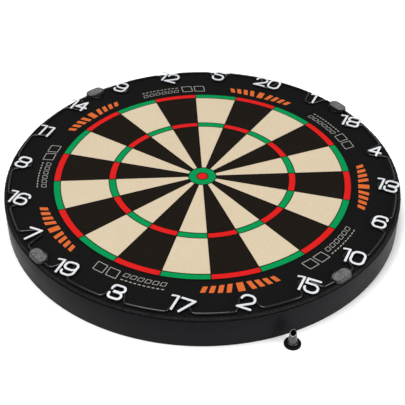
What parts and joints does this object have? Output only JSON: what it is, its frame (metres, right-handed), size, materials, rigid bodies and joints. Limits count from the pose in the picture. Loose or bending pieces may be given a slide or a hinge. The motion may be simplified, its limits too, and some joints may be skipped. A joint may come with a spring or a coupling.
{
  "type": "dartboard",
  "caption": "Round bristle dartboard in a black rim band, with a removable number ring on anchors and magnetic caps, and a loose spare anchor.",
  "frame": {"origin": "centre of the board's back face, on the surface that the board lies on", "axes": "+Z out of the playing face, +Y towards the 20, +X to the right of it, towards the 6"},
  "size_m": [0.451, 0.451, 0.0433],
  "materials": {
    "sisal": "printed sisal end grain, matt",
    "chipboard": "raw chipboard",
    "band_paint": "satin black paint on steel",
    "blade_steel": "dark coated steel",
    "wire_paint": "gloss black coated wire",
    "numeral_paint": "white paint on steel sheet",
    "flange_plastic": "gloss black moulded",
    "zinc_steel": "zinc plated",
    "cap_plastic": "grey, moulded, fine raised lines",
    "magnet_plate": "nickel plated"
  },
  "bodies": {
    "board": {"backboard": "chipboard", "hanging_nut": "zinc_steel", "sisal_core": "sisal", "rim_band": "band_paint", "band_seam_plate": "band_paint", "seam_rivets": "band_paint", "radial_blades": "blade_steel", "bull_blade": "blade_steel", "outer_bull_blade": "blade_steel", "treble_inner_blade": "blade_steel", "treble_outer_blade": "blade_steel", "double_inner_blade": "blade_steel", "double_outer_blade": "blade_steel"},
    "anchors": {"anchor_flange_1": "flange_plastic", "anchor_flange_2": "flange_plastic", "anchor_flange_3": "flange_plastic", "anchor_flange_4": "flange_plastic", "anchor_pin_1": "zinc_steel", "anchor_pin_2": "zinc_steel", "anchor_pin_3": "zinc_steel", "anchor_pin_4": "zinc_steel"},
    "number_ring": {"number_ring_wire": "wire_paint", "numeral_20": "numeral_paint", "numeral_1": "numeral_paint", "numeral_18": "numeral_paint", "numeral_4": "numeral_paint", "numeral_13": "numeral_paint", "numeral_6": "numeral_paint", "numeral_10": "numeral_paint", "numeral_15": "numeral_paint", "numeral_2": "numeral_paint", "numeral_17": "numeral_paint", "numeral_3": "numeral_paint", "numeral_19": "numeral_paint", "numeral_7": "numeral_paint", "numeral_16": "numeral_paint", "numeral_8": "numeral_paint", "numeral_11": "numeral_paint", "numeral_14": "numeral_paint", "numeral_9": "numeral_paint", "numeral_12": "numeral_paint", "numeral_5": "numeral_paint"},
    "spare_anchor": {"spare_flange": "flange_plastic", "spare_pin": "zinc_steel"},
    "cap_1": {"cap_1": "cap_plastic", "magnet_1": "magnet_plate"},
    "cap_2": {"cap_2": "cap_plastic", "magnet_2": "magnet_plate"},
    "cap_3": {"cap_3": "cap_plastic", "magnet_3": "magnet_plate"},
    "cap_4": {"cap_4": "cap_plastic", "magnet_4": "magnet_plate"}
  },
  "joints": [
    {"name": "anchors_pull", "type": "slide", "parent": "board", "child": "anchors", "axis": [0, 0, 1], "range_m": [0, 0.06]},
    {"name": "ring_turn", "type": "hinge", "parent": "anchors", "child": "number_ring", "pos_m": [0, 0, 0.0405], "axis": [0, 0, 1], "continuous": true},
    {"name": "cap_1_pull", "type": "slide", "parent": "number_ring", "child": "cap_1", "axis": [0, 0, 1], "range_m": [0, 0.02]},
    {"name": "cap_2_pull", "type": "slide", "parent": "number_ring", "child": "cap_2", "axis": [0, 0, 1], "range_m": [0, 0.02]},
    {"name": "cap_3_pull", "type": "slide", "parent": "number_ring", "child": "cap_3", "axis": [0, 0, 1], "range_m": [0, 0.02]},
    {"name": "cap_4_pull", "type": "slide", "parent": "number_ring", "child": "cap_4", "axis": [0, 0, 1], "range_m": [0, 0.02]},
    {"name": "spare_lift", "type": "slide", "parent": "board", "child": "spare_anchor", "axis": [0, 0, 1], "range_m": [0, 0.05]}
  ]
}
